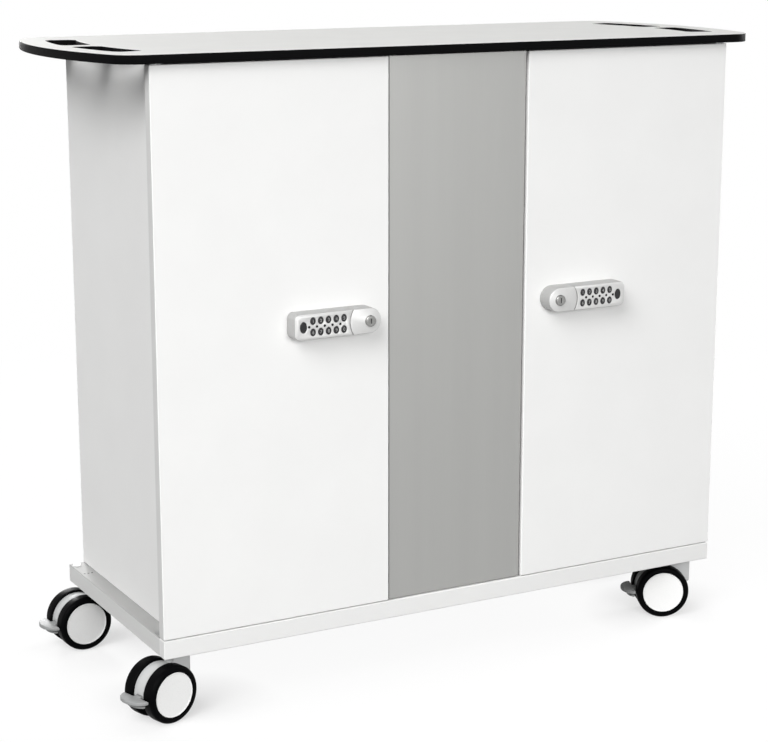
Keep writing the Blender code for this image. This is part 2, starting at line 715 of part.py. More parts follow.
def make_lock(side, sign, door, casing, rubber, steel):
    axis = (sign * (KNOB_X - PIVOT_X), -DOOR_THICKNESS / 2, LOCK_Z)
    bm = bmesh.new()
    rim = add_prism(bm, mirrored(lock_outline(), sign), "XZ", -SEAT_GAP, -KEYPAD_DEPTH)
    round_rim(bm, rim, LOCK_FILLET, 2)
    body = add_object(f"{side}_lock_body", bm, casing, axis, door)
    well = bmesh.new()
    outline = circle((0, 0), KNOB_WELL_RADIUS, 4 * END_STEPS)
    add_prism(well, outline, "XZ", -SEAT_GAP - LOCK_PLATE, -2 * LOCK_DEPTH)
    combine(body, well)
    holes = bmesh.new()
    add_prism(holes, circle((0, 0), SPINDLE_RADIUS + RUN_GAP), "XZ", LOCK_PLATE, -2 * LOCK_PLATE)
    floor = LOCK_DEPTH - KEY_LENGTH - KEY_TRAVEL - SEAT_GAP
    for centre in key_layout(sign).values():
        pocket = ellipse(centre, KEY_WIDTH + 2 * RUN_GAP, KEY_HEIGHT + 2 * RUN_GAP, KEY_FACETS)
        add_prism(holes, mirrored(pocket, sign), "XZ", -floor, -2 * LOCK_DEPTH)
    lens = ellipse((LENS_COLUMN, 0), LENS_WIDTH, LENS_HEIGHT, KEY_FACETS)
    add_prism(holes, mirrored(lens, sign), "XZ", LENS_RECESS - KEYPAD_DEPTH, -2 * LOCK_DEPTH)
    combine(body, holes)
    make_keys(side, sign, body, rubber)
    make_knob(side, sign, body, casing, steel)


def make_keys(side, sign, body, rubber):
    for digit, (u, v) in key_layout(sign).items():
        bm = bmesh.new()
        outline = ellipse((0, 0), KEY_WIDTH, KEY_HEIGHT, KEY_FACETS)
        rim = add_prism(bm, outline, "XZ", KEY_LENGTH - LOCK_DEPTH, -LOCK_DEPTH)
        round_rim(bm, rim, KEY_ROUNDING, 1)
        key = add_object(f"{side}_key_{digit}", bm, rubber, (sign * u, 0, v), body)
        shade_round(key.data)


def make_knob(side, sign, body, casing, steel):
    # The knob with its key barrel, and the spindle and cam that turn with it. The cam stands up at rest,
    # clear of the mortise.
    bm = bmesh.new()
    rim = add_prism(bm, mirrored(knob_outline(), sign), "XZ", -KNOB_BACK, -LOCK_DEPTH)
    round_rim(bm, rim, LOCK_FILLET, 2)
    knob = add_object(f"{side}_lock_knob", bm, casing, parent=body)
    barrel = bmesh.new()
    outline = circle((0, 0), BARREL_RADIUS, 2 * KEY_FACETS)
    rim = add_prism(barrel, outline, "XZ", -LOCK_DEPTH / 2, -LOCK_REACH)
    round_rim(barrel, rim, BARREL_ROUNDING, 1)
    keyway = bmesh.new()
    low = (-KEYWAY_WIDTH / 2, -2 * LOCK_REACH, -KEYWAY_HEIGHT / 2)
    add_block(keyway, low, (KEYWAY_WIDTH / 2, KEYWAY_DEPTH - LOCK_REACH, KEYWAY_HEIGHT / 2))
    cam_front = DOOR_THICKNESS + CAM_SETBACK
    half = CAM_WIDTH / 2
    cam = bmesh.new()
    outline = arc((0, CAM_REACH - half), half, 0, 180, ARC_STEPS) + arc((0, 0), half, 180, 360, ARC_STEPS)
    add_prism(cam, outline, "XZ", cam_front, cam_front + CAM_THICKNESS)
    spindle = bmesh.new()
    tail = cam_front + CAM_THICKNESS + SPINDLE_TAIL
    add_prism(spindle, circle((0, 0), SPINDLE_RADIUS), "XZ", -KNOB_BACK - SPINDLE_SEAT, tail)
    knob.data.materials.append(steel)
    for tool in (spindle, cam, barrel):
        for face in tool.faces:
            face.material_index = 1
        combine(knob, tool, "UNION")
    combine(knob, keyway)


# Castors


def castor_spots():
    # King pin place of each castor.
    x = BODY_WIDTH / 2 - CASTOR_INSET
    front = DOOR_FRONT + CASTOR_INSET
    back = CARCASS_BACK - CASTOR_INSET
    return {
        "front_left": (-x, front),
        "back_left": (-x, back),
        "front_right": (x, front),
        "back_right": (x, back),
    }


def make_plate_mesh(steel):
    bm = bmesh.new()
    outline = circle((0, 0), PLATE_RADIUS, 2 * PIN_FACETS)
    add_prism(bm, outline, "XY", PLATE_BOTTOM, PLATE_BOTTOM + PLATE_THICKNESS)
    plate = add_object("plate", bm, steel)
    king_pin = bmesh.new()
    pin = circle((0, 0), KING_PIN_RADIUS)
    add_prism(king_pin, pin, "XY", PLATE_BOTTOM - KING_PIN_LENGTH, PLATE_BOTTOM + PLATE_THICKNESS / 2)
    combine(plate, king_pin, "UNION")
    return bake(plate)


def housing_outline():
    # The hood follows the wheels from the pedal over the top, runs into the stem and is open below.
    meet = math.degrees(math.acos((CASTOR_TRAIL - STEM_HALF_WIDTH) / HOOD_RADIUS))
    stem_top = PLATE_BOTTOM - SEAT_GAP
    foot = AXLE_Z + STEM_RISE
    cheek_foot = PEDAL_PIN_Z - CHEEK_DROP
    points = [(STEM_HALF_WIDTH, foot), (STEM_HALF_WIDTH, stem_top), (-STEM_HALF_WIDTH, stem_top)]
    points += arc((AXLE_X, AXLE_Z), HOOD_RADIUS, meet, HOOD_END, 2 * ARC_STEPS)
    points += [(PEDAL_PIN_X - CHEEK_FRONT, cheek_foot), (PEDAL_PIN_X + PEDAL_EYE_RADIUS, cheek_foot)]
    boss = (270 - AXLE_BOSS_SPREAD, 270 + AXLE_BOSS_SPREAD)
    points += arc((AXLE_X, AXLE_Z), AXLE_BOSS_RADIUS, *boss, ARC_STEPS)
    return points


def make_housing_mesh(grey):
    half = HOUSING_WIDTH / 2
    bm = bmesh.new()
    add_prism(bm, housing_outline(), "XZ", -half, half)
    housing = add_object("housing", bm, grey)
    slot = bmesh.new()
    half_slot = PEDAL_ARM_WIDTH / 2 + RUN_GAP
    slot_right = PEDAL_PIN_X + PEDAL_EYE_RADIUS + RUN_GAP
    slot_top = PEDAL_PIN_Z + PEDAL_EYE_RADIUS + RUN_GAP
    low = (AXLE_X - 2 * WHEEL_RADIUS, -half_slot, PEDAL_PIN_Z - 2 * CHEEK_DROP)
    add_block(slot, low, (slot_right, half_slot, slot_top))
    combine(housing, slot)
    bores = bmesh.new()
    pin = circle((0, 0), KING_PIN_RADIUS + RUN_GAP)
    add_prism(bores, pin, "XY", PLATE_BOTTOM - KING_PIN_LENGTH - SEAT_GAP, PLATE_BOTTOM + PLATE_THICKNESS)
    combine(housing, bores)
    cross_bores = bmesh.new()
    for x, z, radius in ((AXLE_X, AXLE_Z, AXLE_RADIUS), (PEDAL_PIN_X, PEDAL_PIN_Z, PEDAL_PIN_RADIUS)):
        add_prism(cross_bores, circle((x, z), radius + RUN_GAP), "XZ", -HOUSING_WIDTH, HOUSING_WIDTH)
    combine(housing, cross_bores)
    return bake(housing)


def make_wheel_mesh(white, rubber):
    # Both wheels on their axle, turned in one piece: white hubs with a groove round them, and tyres.
    # The tread facets' middles lie on the wheel radius, so the flat ones at the bottom meet the floor.
    tread = WHEEL_RADIUS / math.cos(math.pi / TYRE_FACETS)
    face = WHEEL_OUTER - HUB_RECESS
    one_side = [
        (0, face),
        (HUB_RADIUS - HUB_RECESS, face),
        (HUB_RADIUS, face - HUB_GROOVE),
        (HUB_RADIUS + HUB_GROOVE, WHEEL_OUTER),
    ]
    shoulder = (tread - TYRE_SHOULDER, WHEEL_OUTER - TYRE_SHOULDER)
    one_side += arc(shoulder, TYRE_SHOULDER, 90, 0, 2)
    one_side += [(tread, WHEEL_INNER + TYRE_EDGE), (tread - TYRE_EDGE, WHEEL_INNER)]
    one_side += [(AXLE_RADIUS, WHEEL_INNER)]
    bm = bmesh.new()
    profile = one_side + [(r, -y) for r, y in reversed(one_side)]
    add_turned(bm, profile, (AXLE_X, 0, AXLE_Z), TYRE_FACETS)
    axle = Vector((AXLE_X, 0, AXLE_Z))
    for part in bm.faces:
        offset = part.calc_center_median() - axle
        part.material_index = int(Vector((offset.x, offset.z)).length > HUB_RADIUS)
    wheels = add_object("wheels", bm, white)
    wheels.data.materials.append(rubber)
    return bake(wheels)


def paddle_outline(width, length):
    # Straight beside the tyres and half an oval outside them.
    points = []
    for i in range(PADDLE_STEPS + 1):
        angle = math.pi * (0.5 + i / PADDLE_STEPS)
        points.append((PEDAL_INNER + length * math.cos(angle), width / 2 * math.sin(angle)))
    return points


def make_pedal_mesh(grey):
    # A wide paddle outside the tyres with a lip below it, on an arm that turns on a pin between the cheeks.
    top = PEDAL_PIN_Z + PEDAL_THICKNESS / 2
    bottom = top - PEDAL_THICKNESS
    bm = bmesh.new()
    rim = add_prism(bm, paddle_outline(PEDAL_WIDTH, PEDAL_LENGTH), "XY", bottom, top)
    round_rim(bm, rim, PEDAL_ROUNDING, 1)
    pedal = add_object("pedal", bm, grey)
    lip = bmesh.new()
    lip_top = top - LIP_DROP
    lip_middle = lip_top - LIP_THICKNESS / 2
    add_prism(lip, paddle_outline(LIP_WIDTH, LIP_LENGTH), "XY", lip_top - LIP_THICKNESS, lip_top)
    half = PEDAL_ARM_WIDTH / 2
    arm = bmesh.new()
    arm_end = PEDAL_INNER - LIP_LENGTH / 2
    eye = (PEDAL_PIN_X, PEDAL_PIN_Z)
    outline = arc(eye, PEDAL_EYE_RADIUS, -90, 90, ARC_STEPS)
    outline += [(PEDAL_INNER, top - PEDAL_ARM_STEP), (arm_end, (top + bottom) / 2)]
    outline += [(arm_end, lip_middle), (PEDAL_INNER, lip_middle)]
    add_prism(arm, outline, "XZ", -half, half)
    pin = bmesh.new()
    add_prism(pin, circle(eye, PEDAL_PIN_RADIUS), "XZ", -HOUSING_WIDTH / 2, HOUSING_WIDTH / 2)
    for tool in (arm, lip, pin):
        combine(pedal, tool, "UNION")
    return bake(pedal)


def make_castors(finishes):
    plate = make_plate_mesh(finishes["steel"])
    pieces = {
        "housing": make_housing_mesh(finishes["housing_grey"]),
        "wheels": make_wheel_mesh(finishes["hub_white"], finishes["tyre_rubber"]),
        "brake_pedal": make_pedal_mesh(finishes["pedal_grey"]),
    }
    for corner, (x, y) in castor_spots().items():
        add_copy(f"castor_{corner}_plate", plate, location=(x, y, 0))
        swivel = bpy.data.objects.new(f"castor_{corner}_swivel", None)
        bpy.context.scene.collection.objects.link(swivel)
        swivel.location = (x, y, 0)
        swivel.rotation_euler.z = math.radians(CASTOR_TURNS[corner])
        for piece, mesh in pieces.items():
            add_copy(f"castor_{corner}_{piece}", mesh, parent=swivel)


def main():
    for obj in list(bpy.data.objects):
        bpy.data.objects.remove(obj)
    finishes = {name: make_finish(name) for name in FINISHES}
    white = finishes["white_board"]
    make_carcass(white)
    make_fascia(finishes["satin_metal"])
    make_worktop(finishes["laminate"], finishes["laminate_core"])
    make_socket_strip(finishes["socket_black"])
    make_mains_inlet(finishes["socket_black"])
    steel = finishes["steel"]
    for side, sign in SIDES.items():
        for tier in RACK_FEET:
            make_rack(side, sign, tier, finishes["rack_grey"])
        make_pivot(f"{side}_lower_pivot", sign, PANEL_BOTTOM, 1, steel)
        make_pivot(f"{side}_upper_pivot", sign, PANEL_TOP, -1, steel)
        door = make_door(side, sign, white)
        make_lock(side, sign, door, finishes["lock_casing"], finishes["key_rubber"], steel)
    make_castors(finishes)


main()
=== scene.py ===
import json
import math

import bmesh
import bpy
from mathutils import Matrix, Vector

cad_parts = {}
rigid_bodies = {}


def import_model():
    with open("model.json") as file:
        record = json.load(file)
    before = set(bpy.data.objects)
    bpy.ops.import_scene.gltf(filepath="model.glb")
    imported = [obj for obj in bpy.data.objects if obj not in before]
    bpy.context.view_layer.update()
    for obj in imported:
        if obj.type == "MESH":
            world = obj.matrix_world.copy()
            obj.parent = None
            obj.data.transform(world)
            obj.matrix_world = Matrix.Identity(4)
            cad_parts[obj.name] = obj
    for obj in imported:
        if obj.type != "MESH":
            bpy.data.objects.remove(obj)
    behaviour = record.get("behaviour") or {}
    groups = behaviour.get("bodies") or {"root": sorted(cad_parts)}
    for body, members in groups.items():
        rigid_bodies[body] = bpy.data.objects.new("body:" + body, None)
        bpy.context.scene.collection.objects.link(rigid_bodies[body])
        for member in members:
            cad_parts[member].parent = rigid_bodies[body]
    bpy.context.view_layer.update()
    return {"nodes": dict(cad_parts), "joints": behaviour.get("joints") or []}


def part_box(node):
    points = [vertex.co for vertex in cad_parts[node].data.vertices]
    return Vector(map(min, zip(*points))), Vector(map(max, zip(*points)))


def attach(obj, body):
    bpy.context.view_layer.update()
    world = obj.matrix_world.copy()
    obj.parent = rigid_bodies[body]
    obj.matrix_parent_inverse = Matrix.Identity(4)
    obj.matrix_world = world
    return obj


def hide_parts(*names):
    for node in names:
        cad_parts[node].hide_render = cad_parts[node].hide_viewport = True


# A white charging cabinet on castors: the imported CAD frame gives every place, this script the looks.

for stray in list(bpy.data.objects):  # what Blender starts with
    bpy.data.objects.remove(stray)
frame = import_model()
nodes = frame["nodes"]
joints = {joint["name"]: joint for joint in frame["joints"]}
sides = {"left": -1, "right": 1}
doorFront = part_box("left_door")[0].y
print("frame loaded:", len(nodes), "nodes")


def linearColour(hexText):
    channels = [int(hexText[i:i + 2], 16) / 255 for i in (0, 2, 4)]
    return [c / 12.92 if c <= 0.04045 else ((c + 0.055) / 1.055) ** 2.4 for c in channels] + [1.0]


def addNode(tree, kind, settings=None, inputs=None):
    # Each input is a value, or the socket that feeds it.
    node = tree.nodes.new(kind)
    for key, value in (settings or {}).items():
        setattr(node, key, value)
    for key, value in (inputs or {}).items():
        if isinstance(value, bpy.types.NodeSocket):
            tree.links.new(value, node.inputs[key])
        else:
            node.inputs[key].default_value = value
    return node


def startSurface(name, look):
    surface = bpy.data.materials.new(name)
    surface.use_nodes = True
    shader = surface.node_tree.nodes["Principled BSDF"]
    shader.inputs["Metallic"].default_value = look.get("metallic", 0.0)
    shader.inputs["IOR"].default_value = look.get("ior", 1.5)
    shader.inputs["Specular IOR Level"].default_value = look.get("specular", 0.5)
    return surface, surface.node_tree, shader


# Nearly all values of a noise lie between low and high.
noise = {"cloudDetail": 4.0, "grainDetail": 2.0, "low": 0.3, "high": 0.7}


def mottle(tree, shader, look):
    # Cloudy colour, uneven gloss and a fine bump, each from its own size in millimetres.
    place = addNode(tree, "ShaderNodeTexCoord").outputs["Object"]
    drawn = addNode(tree, "ShaderNodeMapping",
                    inputs={"Vector": place, "Scale": look.get("stretch", (1, 1, 1))}).outputs[0]
    cloud = addNode(tree, "ShaderNodeTexNoise",
                    inputs={"Vector": drawn, "Scale": 1000 / look["cloudMm"], "Detail": noise["cloudDetail"]})
    tint = addNode(tree, "ShaderNodeMix", {"data_type": "RGBA"},
                   {0: cloud.outputs["Fac"], 6: linearColour(look["dark"]), 7: linearColour(look["light"])})
    grain = addNode(tree, "ShaderNodeTexNoise",
                    inputs={"Vector": drawn, "Scale": 1000 / look["grainMm"], "Detail": noise["grainDetail"]})
    smooth, rough = look["gloss"]
    gloss = addNode(tree, "ShaderNodeMapRange",
                    inputs={"Value": grain.outputs["Fac"], "From Min": noise["low"],
                            "From Max": noise["high"], "To Min": smooth, "To Max": rough})
    bump = addNode(tree, "ShaderNodeBump",
                   inputs={"Height": grain.outputs["Fac"], "Strength": look["bump"],
                           "Distance": look["bumpMm"] / 1000})
    tree.links.new(tint.outputs[2], shader.inputs["Base Color"])
    tree.links.new(gloss.outputs[0], shader.inputs["Roughness"])
    tree.links.new(bump.outputs[0], shader.inputs["Normal"])
    return place, tint.outputs[2]


def mottledSurface(name, look):
    surface, tree, shader = startSurface(name, look)
    mottle(tree, shader, look)
    return surface


# Compact laminate, a black phenolic core between pale printed faces with a fine matt texture.
laminateLook = {"dark": "E9E9E7", "light": "F0F0EE", "cloudMm": 70, "grainMm": 2.0, "gloss": (0.6, 0.7),
                "bump": 0.10, "bumpMm": 0.05, "specular": 0.12}
# The core shows where the board is cut: black, polished dull, with faint saw marks.
coreLook = {"dark": "050506", "light": "0A0A0B", "cloudMm": 30, "grainMm": 1.5, "gloss": (0.5, 0.65),
            "bump": 0.08, "bumpMm": 0.03, "specular": 0.03, "stretch": (1, 1, 0.2)}
# Melamine-faced board, pressed with a pearl texture: clean white with a soft, slightly broken sheen.
# The real pearls are about 0.4 mm, drawn larger so that they show.
melamineLook = {"dark": "EFEFEE", "light": "F4F4F3", "cloudMm": 90, "grainMm": 2.5, "gloss": (0.42, 0.55),
                "bump": 0.10, "bumpMm": 0.08, "specular": 0.1}
# Satin stainless sheet, brushed upwards: an even grey with faint upright streaks that soften the reflection.
# The real scratches are about 0.1 mm apart, drawn at 1 mm so that they show.
satinSteelLook = {"dark": "9D9D9B", "light": "A3A3A1", "cloudMm": 40, "grainMm": 1.0, "gloss": (0.4, 0.46),
                  "bump": 0.03, "bumpMm": 0.05, "metallic": 0.85, "stretch": (1, 1, 0.02)}
# Lacquered zinc casting: pale silver, smooth, with a faint sparkle.
lacquerLook = {"dark": "CDCDCC", "light": "D8D8D7", "cloudMm": 12, "grainMm": 0.6, "gloss": (0.32, 0.42),
               "bump": 0.05, "bumpMm": 0.02, "metallic": 0.15, "specular": 0.35}
# The walls of the casting are satin, and painted greyer than the lacquered front as painted shade.
shadedWallLook = {"dark": "ABABAA", "light": "B5B5B4", "cloudMm": 10, "grainMm": 0.7, "gloss": (0.4, 0.5),
                "bump": 0.08, "bumpMm": 0.03, "metallic": 0.2}
# Moulded silicone keys: charcoal, dull and a little dusty.
siliconeLook = {"dark": "1C1C1E", "light": "2A2A2C", "cloudMm": 4, "grainMm": 0.4, "gloss": (0.45, 0.6),
                "bump": 0.08, "bumpMm": 0.02, "specular": 0.3}
# Screen-printed ink for the numerals: pale grey, thin and even.
inkLook = {"dark": "9C9C9B", "light": "AAAAA9", "cloudMm": 2, "grainMm": 0.3, "gloss": (0.45, 0.55),
           "bump": 0.05, "bumpMm": 0.01}
# Smoked acrylic lens: nearly black with a hard shine, also used for the status dots and as painted shade in
# the socket pin holes.
acrylicLook = {"dark": "0D0D0F", "light": "18181B", "cloudMm": 6, "grainMm": 0.8, "gloss": (0.06, 0.12),
               "bump": 0.02, "bumpMm": 0.01, "ior": 1.49}
# Nickel-plated brass barrel: grey metal with turned rings too fine to see apart.
nickelLook = {"dark": "838382", "light": "989896", "cloudMm": 3, "grainMm": 0.3, "gloss": (0.25, 0.4),
              "bump": 0.06, "bumpMm": 0.01, "metallic": 0.9}
# Moulded glass-filled nylon: light grey, matt, finely spark-eroded.
nylonLook = {"dark": "C2C3C3", "light": "CCCDCD", "cloudMm": 25, "grainMm": 0.9, "gloss": (0.42, 0.55),
             "bump": 0.12, "bumpMm": 0.04}
# The brake pedals are the same nylon painted a darker grey, as painted shade.
shadedPedalLook = {"dark": "929393", "light": "A4A5A5", "cloudMm": 9, "grainMm": 0.9, "gloss": (0.42, 0.58),
             "bump": 0.14, "bumpMm": 0.04, "specular": 0.15}
# Polyurethane tyre: black and dull, with a little dust.
tyreLook = {"dark": "040405", "light": "0A0A0B", "cloudMm": 15, "grainMm": 1.2, "gloss": (0.35, 0.48),
            "bump": 0.10, "bumpMm": 0.04, "specular": 0.02}
# Moulded ABS wheel disc: white and smooth.
discLook = {"dark": "F4F4F3", "light": "F9F9F8", "cloudMm": 30, "grainMm": 1.0, "gloss": (0.25, 0.34),
            "bump": 0.05, "bumpMm": 0.02, "ior": 1.53}
# Zinc-plated pressed steel: pale blue-grey with cloudy crystals.
zincLook = {"dark": "9FA1A3", "light": "B6B7B6", "cloudMm": 5, "grainMm": 0.5, "gloss": (0.3, 0.45),
            "bump": 0.08, "bumpMm": 0.02, "metallic": 0.95}
# Moulded ABS racks: light grey with a leather-like moulding texture of about 1.5 mm.
rackLook = {"dark": "C2C3C3", "light": "CCCDCD", "cloudMm": 60, "grainMm": 1.5, "gloss": (0.5, 0.62),
            "bump": 0.2, "bumpMm": 0.08, "ior": 1.53}
# Moulded black nylon of the sockets and the inlet, also used as painted shade in the knob's keyway and the
# ledge holes.
socketLook = {"dark": "161618", "light": "222225", "cloudMm": 20, "grainMm": 0.8, "gloss": (0.38, 0.5),
              "bump": 0.12, "bumpMm": 0.04}

laminate = mottledSurface("compactLaminate", laminateLook)
phenolicCore = mottledSurface("phenolicCore", coreLook)
melamine = mottledSurface("melamineBoard", melamineLook)
satinSteel = mottledSurface("satinSteelSheet", satinSteelLook)
lacquer = mottledSurface("lacqueredZinc", lacquerLook)
shadedWall = mottledSurface("shadedSatinZincWall", shadedWallLook)
silicone = mottledSurface("mouldedSilicone", siliconeLook)
ink = mottledSurface("printedInk", inkLook)
acrylic = mottledSurface("smokedAcrylic", acrylicLook)
nickel = mottledSurface("nickelPlate", nickelLook)
nylon = mottledSurface("greyNylon", nylonLook)
shadedPedalNylon = mottledSurface("shadedDarkGreyNylon", shadedPedalLook)
tyreRubber = mottledSurface("polyurethaneTyre", tyreLook)
discAbs = mottledSurface("whiteAbs", discLook)
zinc = mottledSurface("zincPlatedSteel", zincLook)
rackAbs = mottledSurface("greyAbs", rackLook)
socketNylon = mottledSurface("blackNylon", socketLook)


# The outer ends of the doors and base are painted a touch greyer than the faces, as painted shade.
# The base is painted grey behind its white front, as painted shade where the worktop overhangs its ledges.
# The edging's colour below is painted shade on the end faces.
endShadeSkin = 0.0001  # how far in from the end face the edging's colour reaches
endShadeLook = {"colour": "DCDCDB", "from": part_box("base_board")[1].x - endShadeSkin}
shadedBoardLook = dict(melamineLook, dark="ACACAB", light="B4B4B3")
frontEdging = {"colour": "EBEBEA", "to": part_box("left_door")[1].y}


def makeEndShadedBoard(name, look, endShade, front=None):
    surface, tree, shader = startSurface(name, look)
    place, tint = mottle(tree, shader, look)
    along = addNode(tree, "ShaderNodeSeparateXYZ", inputs={0: place}).outputs
    outwards = addNode(tree, "ShaderNodeMath", {"operation": "ABSOLUTE"}, {0: along["X"]})
    # Painted shade: the end faces take the greyer colour.
    atEnd = addNode(tree, "ShaderNodeMath", {"operation": "GREATER_THAN"},
                    {0: outwards.outputs[0], 1: endShade["from"]})
    endShaded = addNode(tree, "ShaderNodeMix", {"data_type": "RGBA"},
                    {0: atEnd.outputs[0], 6: tint, 7: linearColour(endShade["colour"])})
    if front:
        atFront = addNode(tree, "ShaderNodeMath", {"operation": "LESS_THAN"}, {0: along["Y"], 1: front["to"]})
        endShaded = addNode(tree, "ShaderNodeMix", {"data_type": "RGBA"},
                        {0: atFront.outputs[0], 6: endShaded.outputs[2], 7: linearColour(front["colour"])})
    tree.links.new(endShaded.outputs[2], shader.inputs["Base Color"])
    return surface


endShadedMelamine = makeEndShadedBoard("endShadedMelamineBoard", melamineLook, endShadeLook)
shadedBaseMelamine = makeEndShadedBoard("shadedBaseMelamineBoard", shadedBoardLook, endShadeLook, frontEdging)
print("materials made:", len(bpy.data.materials))


def paint(names, surface):
    for name in names:
        skin = nodes[name].data.materials
        skin.clear()
        skin.append(surface)


paint(["left_side_panel", "right_side_panel", "back_panel", "left_partition", "right_partition"], melamine)
paint(["left_door", "right_door"], endShadedMelamine)
paint(["base_board"], shadedBaseMelamine)
paint(["centre_fascia"], satinSteel)
paint([name for name in nodes if name.endswith("_rack")], rackAbs)
paint([name for name in nodes if name.endswith(("_pivot", "_plate"))], zinc)
paint(["socket_strip", "mains_inlet"], socketNylon)
print("CAD nodes painted")


# Points closer than weld are one, and angles are in degrees.
meshing = {"weld": 1e-6, "flatAngle": 0.3, "rimAngle": 40, "rimSteps": 2, "smoothAngle": 35}


def smoothed(mesh, angle=meshing["smoothAngle"]):
    mesh.shade_smooth()
    mesh.set_sharp_from_angle(angle=math.radians(angle))
    return mesh


def evaluated(obj):
    # A plain mesh of what the modifiers make.
    bpy.context.view_layer.update()
    graph = bpy.context.evaluated_depsgraph_get()
    mesh = bpy.data.meshes.new_from_object(obj.evaluated_get(graph))
    bpy.data.objects.remove(obj)
    return mesh


def helper(name, data):
    obj = bpy.data.objects.new(name, data)
    bpy.context.scene.collection.objects.link(obj)
    return obj


def toMesh(bm, name):
    bmesh.ops.recalc_face_normals(bm, faces=bm.faces)
    mesh = bpy.data.meshes.new(name)
    bm.to_mesh(mesh)
    bm.free()
    return mesh


def addPiece(name, mesh, surfaces, body, replaced=()):
    while len(mesh.materials) < len(surfaces):
        mesh.materials.append(None)
    for i, surface in enumerate(surfaces):
        mesh.materials[i] = surface
    piece = helper(name, mesh)
    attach(piece, body)
    if replaced:
        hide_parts(*replaced)


def softened(nodeName, rim):
    # The CAD solid with its triangles merged and its sharp rims rounded.
    bm = bmesh.new()
    bm.from_mesh(nodes[nodeName].data)
    bmesh.ops.remove_doubles(bm, verts=bm.verts, dist=meshing["weld"])
    flat = math.radians(meshing["flatAngle"])
    bmesh.ops.dissolve_limit(bm, angle_limit=flat, verts=bm.verts, edges=bm.edges)
    blank = helper("blank", toMesh(bm, nodeName + "_soft"))
    bevel = blank.modifiers.new("rim", "BEVEL")
    bevel.width = rim
    bevel.segments = meshing["rimSteps"]
    bevel.limit_method = "ANGLE"
    bevel.angle_limit = math.radians(meshing["rimAngle"])
    return smoothed(evaluated(blank))


def arc(centre, radius, start, end, steps):
    points = []
    for i in range(steps + 1):
        angle = math.radians(start + (end - start) * i / steps)
        points.append((centre[0] + radius * math.cos(angle), centre[1] + radius * math.sin(angle)))
    return points


# Worktop: one flat curve with four bent slots, given its thickness and a rounded rim.
worktopSizes = {"endRadius": 0.600, "bowSteps": 48, "cornerRadius": 0.040, "cornerSteps": 12,
                "slotLength": 0.135, "slotWidth": 0.045, "slotInset": 0.0375, "slotSpacing": 0.026,
                "slotCorner": 0.012, "slotCornerSteps": 8, "slotSideSteps": 8, "rim": 0.0009, "rimSteps": 2,
                "printed": 0.4, "flat": 0.999}  # the last two are heights of a face's normal


def boardOutline(sizes, low, high):
    # Straight front and back, bowed ends, and fillets that run smoothly into both.
    middleY = (high.y + low.y) / 2
    bowX = high.x - sizes["endRadius"]
    filletY = (high.y - low.y) / 2 - sizes["cornerRadius"]
    reach = math.sqrt((sizes["endRadius"] - sizes["cornerRadius"]) ** 2 - filletY ** 2)
    tangent = math.degrees(math.atan2(filletY, reach))
    right = arc((bowX + reach, -filletY), sizes["cornerRadius"], -90, -tangent, sizes["cornerSteps"])
    right += arc((bowX, 0), sizes["endRadius"], -tangent, tangent, sizes["bowSteps"])[1:-1]
    right += arc((bowX + reach, filletY), sizes["cornerRadius"], tangent, 90, sizes["cornerSteps"])
    return [(x, y + middleY) for x, y in right + [(-x, -y) for x, y in right]]


def straightSlot(sizes):
    # A slot before it is bent, as points across and along it.
    halfWidth = sizes["slotWidth"] / 2
    corner = sizes["slotCorner"]
    inner = sizes["slotLength"] / 2 - corner
    steps = sizes["slotSideSteps"]
    points = []
    for turn, (u, v) in enumerate(((1, 1), (-1, 1), (-1, -1), (1, -1))):
        centre = (u * (halfWidth - corner), v * inner)
        points += arc(centre, corner, 90 * turn, 90 * turn + 90, sizes["slotCornerSteps"])
        if turn in (1, 3):  # the long sides are bent, so they need points between
            points += [(u * halfWidth, v * inner * (1 - 2 * k / steps)) for k in range(1, steps)]
    return points


def slotOutlines(sizes, low, high):
    middleY = (high.y + low.y) / 2
    bowX = high.x - sizes["endRadius"]
    radius = sizes["endRadius"] - sizes["slotInset"] - sizes["slotWidth"] / 2
    offset = (sizes["slotSpacing"] + sizes["slotLength"]) / 2 / radius
    outlines = []
    for sign in sides.values():
        for middle in (-offset, offset):
            bent = []
            for across, along in straightSlot(sizes):
                angle = middle + along / radius
                x = bowX + (radius + across) * math.cos(angle)
                bent.append((sign * x, middleY + (radius + across) * math.sin(angle)))
            outlines.append(bent)
    return outlines


def makeWorktop(sizes):
    low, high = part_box("worktop")
    curve = bpy.data.curves.new("worktopCurve", "CURVE")
    curve.dimensions = "2D"
    curve.fill_mode = "BOTH"
    for outline in [boardOutline(sizes, low, high)] + slotOutlines(sizes, low, high):
        spline = curve.splines.new("POLY")
        spline.points.add(len(outline) - 1)
        for point, (x, y) in zip(spline.points, outline):
            point.co = (x, y, 0, 1)
        spline.use_cyclic_u = True
    curve.extrude = (high.z - low.z) / 2 - sizes["rim"]
    curve.bevel_depth = sizes["rim"]
    curve.bevel_resolution = sizes["rimSteps"]
    curve.offset = -sizes["rim"]
    mesh = evaluated(helper("worktopBlank", curve))
    mesh.transform(Matrix.Translation((0, 0, (high.z + low.z) / 2)))
    bm = bmesh.new()
    bm.from_mesh(mesh)
    bmesh.ops.remove_doubles(bm, verts=bm.verts, dist=meshing["weld"])
    board = smoothed(toMesh(bm, "worktopBoard"))
    for face in board.polygons:  # only the top is printed, the cut edges and the underside are bare core
        face.material_index = int(face.normal.z < sizes["printed"])
        face.use_smooth = abs(face.normal.z) < sizes["flat"]
    addPiece("worktopBoard", board, [laminate, phenolicCore], "cabinet", ["worktop"])


makeWorktop(worktopSizes)
print("worktop made")


# Locks: the CAD casing and knob with softer rims, and what is printed on, let in or seen through them.
casingSizes = {"rim": 0.0006, "faceDepth": 0.0262, "forwards": -0.5}  # the last is a face's normal along y


